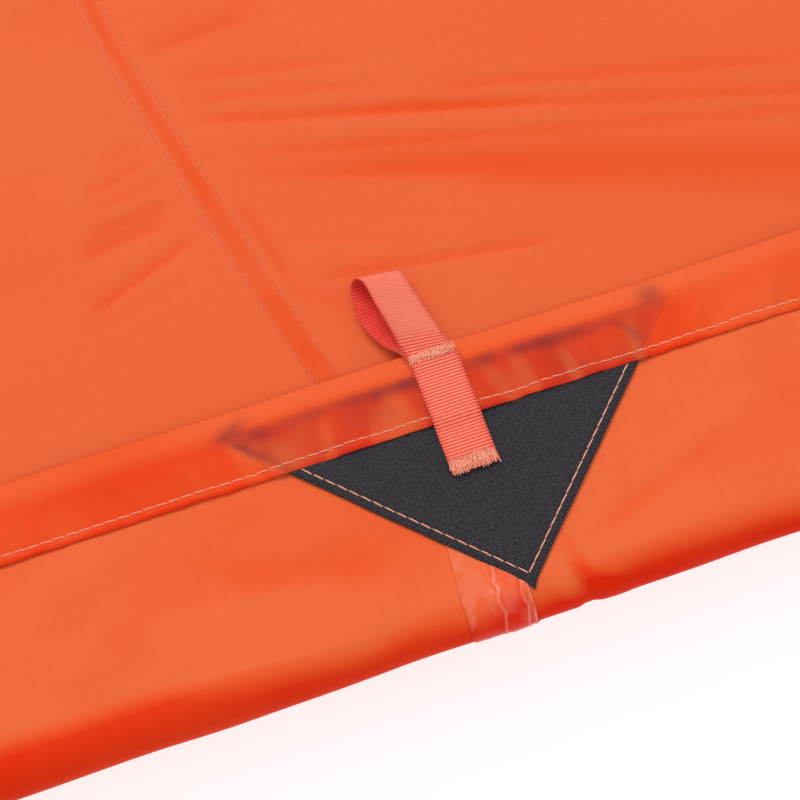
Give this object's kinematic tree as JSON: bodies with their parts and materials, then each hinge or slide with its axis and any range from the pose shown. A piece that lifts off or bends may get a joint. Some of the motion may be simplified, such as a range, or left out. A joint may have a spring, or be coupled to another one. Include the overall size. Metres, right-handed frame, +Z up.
{
  "type": "bivy sack",
  "caption": "Tapered waterproof sleeping-bag cover laid flat, its mouth turned back as a cuff with a hem, corner patches and ribbon hang loops over the side seams",
  "frame": {"origin": "on the ground under the middle of the laid-out bag", "axes": "+Y from the mouth to the foot, +X to the right of someone standing at the mouth looking to the foot, +Z up"},
  "size_m": [0.903, 2.02, 0.0547],
  "materials": {
    "orange_ripstop_nylon": "satin",
    "coral_thread": "satin",
    "clear_seam_tape": "gloss",
    "black_reinforcement_cloth": "matte",
    "coral_grosgrain_ribbon": "satin"
  },
  "bodies": {
    "bag": {"top_panel": "orange_ripstop_nylon", "tub_panel": "orange_ripstop_nylon", "mouth_hem": "orange_ripstop_nylon", "hem_topstitch": "coral_thread", "seam_fell_left": "orange_ripstop_nylon", "seam_fell_right": "orange_ripstop_nylon", "seam_stitching_left": "coral_thread", "seam_stitching_right": "coral_thread", "seam_tape_left": "clear_seam_tape", "seam_tape_right": "clear_seam_tape", "foot_fell": "orange_ripstop_nylon", "foot_stitching": "coral_thread", "foot_seam_tape": "clear_seam_tape", "corner_patch_left": "black_reinforcement_cloth", "corner_patch_right": "black_reinforcement_cloth", "patch_stitching_left": "coral_thread", "patch_stitching_right": "coral_thread", "loop_leg_left": "coral_grosgrain_ribbon", "loop_leg_right": "coral_grosgrain_ribbon", "edge_bar_tack_left": "coral_thread", "edge_bar_tack_right": "coral_thread", "end_bar_tack_left": "coral_thread", "end_bar_tack_right": "coral_thread"},
    "left_loop": {"hang_loop_left": "coral_grosgrain_ribbon"},
    "right_loop": {"hang_loop_right": "coral_grosgrain_ribbon"}
  },
  "joints": [
    {"name": "left_loop_flip", "type": "hinge", "parent": "bag", "child": "left_loop", "pos_m": [-0.2642, -0.93681, 0.04433], "axis": [1, 0, 0], "range_deg": [-6, 115], "stiffness_Nm_per_rad": 0.0008, "springref_deg": 1.72},
    {"name": "right_loop_flip", "type": "hinge", "parent": "bag", "child": "right_loop", "pos_m": [0.2642, -0.93681, 0.04433], "axis": [1, 0, 0], "range_deg": [-6, 115], "stiffness_Nm_per_rad": 0.0008, "springref_deg": 1.72}
  ]
}
